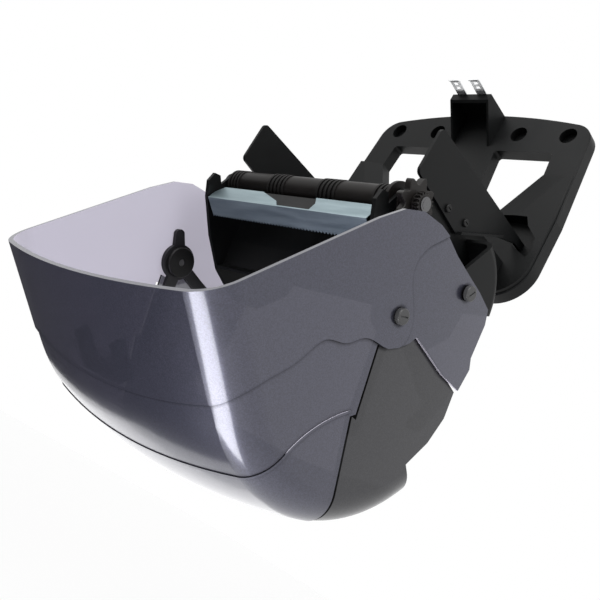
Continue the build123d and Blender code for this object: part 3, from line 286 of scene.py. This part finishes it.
materials = {
    "cover_shell": smoke(
        "smoke_cover",
        outside=(0.050, 0.051, 0.078),
        # painted light: the inside is a pale copy of the same smoke plastic
        inside=(0.62, 0.60, 0.68),
        pass_out=0.02,
        pass_in=0.35,
        tint=(0.90, 0.88, 0.95),
    ),
    "lever_shell": smoke(
        "smoke_lever",
        outside=(0.034, 0.034, 0.038),
        # painted light: the inside is a paler copy of the same smoke plastic
        inside=(0.10, 0.10, 0.11),
        pass_out=0.01,
        pass_in=0.2,
        tint=(0.8, 0.8, 0.84),
        coat=0.5,
        seam_shaded=True,
    ),
    "latch_housing": moulded("smoke_latch", 0.03, 0.045),
    "black": moulded("black_moulded", 0.004, 0.007, specular=0.15, tint=(0.92, 1.0, 1.04)),
    "dark": moulded("dark_moulded", 0.004, 0.007, roughness=0.4, specular=0.25),
    "arm": moulded("arm_moulded", 0.014, 0.022, roughness=0.4, specular=0.3, tint=(1.0, 0.98, 1.1)),
    "zinc": plated(
        "blue_zinc",
        (0.22, 0.285, 0.31),
        (0.29, 0.36, 0.385),
        roughness=0.4,
        stretch=(1.0, 8.0, 8.0),
        scale=24.0,
    ),
    "bright_zinc": plated(
        "bright_zinc", (0.80, 0.81, 0.82), (0.94, 0.95, 0.96), roughness=0.3, metallic=0.7
    ),
    "steel": plated("plain_steel", (0.10, 0.10, 0.105), (0.18, 0.18, 0.185), roughness=0.35),
    "bolt": moulded("bolt_grey", 0.07, 0.09, roughness=0.35),
    "sleeve": moulded("sleeve_brown", 0.004, 0.008, roughness=0.42, tint=(1.2, 1.0, 0.9), specular=0.18),
    "acetal": moulded("acetal_brown", 0.008, 0.013, roughness=0.4, tint=(1.15, 1.0, 0.92), specular=0.25),
    "rubber": moulded("grip_rubber", 0.004, 0.007, roughness=0.6, tint=(1.1, 1.0, 0.95), specular=0.2),
}

# Nodes of each finish; every other node is black
GROUPS = {
    "cover_shell": ["cover_shell"],
    "lever_shell": ["lever_shell"],
    "latch_housing": ["latch_housing"],
    "dark": ["pivot_caps", "frame_screws"],
    "arm": ["lever_arm_right", "lever_arm_left"],
    "bolt": ["hinge_bolts", "pivot_bolts", "sector_screws"],
    "sleeve": ["roller_sleeves", "roller_flange"],
    "acetal": ["star_wheel", "drive_gear", "lever_sector", "roller_bushes", "one_way_clutch"],
    "rubber": ["roller_grips", "pinch_sleeves"],
    "zinc": ["tear_bar"],
    "bright_zinc": ["latch_springs"],
    "steel": ["roller_shaft", "tear_bar_pins", "pinch_shaft", "retaining_ring"],
}
FINISH = {node: group for group, members in GROUPS.items() for node in members}
for name, obj in nodes.items():
    finish = materials[FINISH.get(name, "black")]
    if not obj.data.materials:
        obj.data.materials.append(finish)
    for slot in obj.material_slots:
        slot.material = finish


optics = bpy.data.cameras.new("camera")
optics.lens = CAMERA_LENS
optics.sensor_width = CAMERA_SENSOR
optics.clip_start, optics.clip_end = CAMERA_CLIP
camera = bpy.data.objects.new("camera", optics)
scene.collection.objects.link(camera)
back = Vector(CAMERA_BACK).normalized()
right = Vector(CAMERA_RIGHT)
right = (right - back * right.dot(back)).normalized()
turn = Matrix((right, back.cross(right), back)).transposed()
camera.matrix_world = Matrix.Translation(CAMERA_PLACE) @ turn.to_4x4()
scene.camera = camera


def card(name, corners, value):
    """A flat stage piece of one grey."""
    mesh = bpy.data.meshes.new(name)
    mesh.from_pydata(corners, [], [(0, 1, 2, 3)])
    piece = bpy.data.objects.new(name, mesh)
    scene.collection.objects.link(piece)
    paint = Shader(name + "_paint")
    paint.set(color=grey(value), roughness=0.9, specular=0.1)
    mesh.materials.append(paint.mat)
    return piece


def seen_rays(tree):
    """1 for rays from the camera, from gloss and through glass, else 0."""
    path = tree.nodes.new("ShaderNodeLightPath")
    total = path.outputs["Is Camera Ray"]
    for name in ("Is Glossy Ray", "Is Transmission Ray"):
        either = tree.nodes.new("ShaderNodeMath")
        either.operation = "MAXIMUM"
        tree.links.new(total, either.inputs[0])
        tree.links.new(path.outputs[name], either.inputs[1])
        total = either.outputs[0]
    return total


FLOOR_CORNERS = [(x * FLOOR_HALF, y * FLOOR_HALF, FLOOR_Z) for x, y in ((-1, -1), (1, -1), (1, 1), (-1, 1))]
floor = card("floor", FLOOR_CORNERS, FLOOR_GREY)
paint_tree = floor.data.materials[0].node_tree
glow = paint_tree.nodes.new("ShaderNodeMath")
glow.operation = "MULTIPLY"
glow.inputs[1].default_value = FLOOR_GLOW
paint_tree.links.new(seen_rays(paint_tree), glow.inputs[0])
paint = paint_tree.nodes["Principled BSDF"]
paint.inputs["Emission Color"].default_value = WHITE
paint_tree.links.new(glow.outputs[0], paint.inputs["Emission Strength"])

# Two dark cards for the cover to reflect, hidden from the camera and without a shadow
for name, corners in FLAG_CORNERS.items():
    flag = card(name, corners, FLAG_GREY)
    flag.visible_camera = False
    flag.visible_shadow = False
    flag.visible_diffuse = False

world = bpy.data.worlds.new("studio")
scene.world = world
world.use_nodes = True
sky, sky_links = world.node_tree.nodes, world.node_tree.links
fill = sky["Background"]
fill.inputs["Color"].default_value = WHITE
fill.inputs["Strength"].default_value = WORLD_FILL
seen = sky.new("ShaderNodeBackground")
seen.inputs["Color"].default_value = WHITE
seen.inputs["Strength"].default_value = WORLD_SEEN
mix = sky.new("ShaderNodeMixShader")
sky_links.new(seen_rays(world.node_tree), mix.inputs["Fac"])
sky_links.new(fill.outputs[0], mix.inputs[1])
sky_links.new(seen.outputs[0], mix.inputs[2])
sky_links.new(mix.outputs[0], sky["World Output"].inputs["Surface"])


def softbox(name, place, size, power):
    """A large area lamp that points at the part."""
    data = bpy.data.lights.new(name, "AREA")
    data.shape = "RECTANGLE"
    data.size, data.size_y = size
    data.energy = power
    lamp = bpy.data.objects.new(name, data)
    scene.collection.objects.link(lamp)
    lamp.location = place
    lamp.visible_camera = False
    lamp.rotation_mode = "QUATERNION"
    lamp.rotation_quaternion = (Vector(LAMP_AIM) - Vector(place)).to_track_quat("-Z", "Y")


for name, setup in LAMPS.items():
    softbox(name, *setup)

scene.view_settings.view_transform = "Standard"
